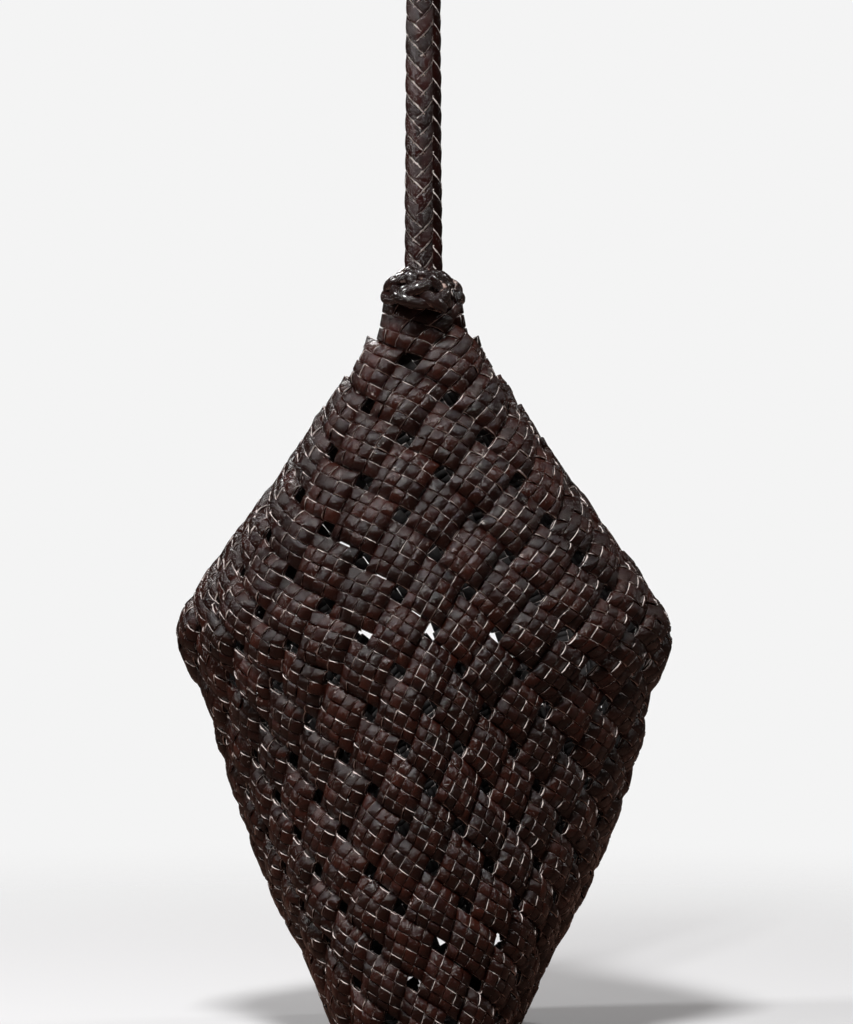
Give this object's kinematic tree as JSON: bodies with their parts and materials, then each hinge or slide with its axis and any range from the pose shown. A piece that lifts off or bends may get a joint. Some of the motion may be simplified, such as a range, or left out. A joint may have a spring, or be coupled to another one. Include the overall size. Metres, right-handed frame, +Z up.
{
  "type": "braided leather bag",
  "caption": "Soft woven leather bucket bag with open gaps in the weave, a V-notched mouth and one braided strap joining its two peaks.",
  "frame": {"origin": "under the top bend of the strap, where the bag hangs from a shoulder, hand or hook", "axes": "+Z up, +X across the bag from one mouth notch to the other, +Y from the front peak to the back peak, in the plane of the strap"},
  "size_m": [0.2228, 0.206, 0.6379],
  "materials": {
    "body_leather": "semi-gloss",
    "strap_leather": "semi-gloss"
  },
  "bodies": {
    "root": {"woven_body": "body_leather", "strap": "strap_leather", "knot_front": "strap_leather", "knot_back": "strap_leather"}
  },
  "joints": []
}
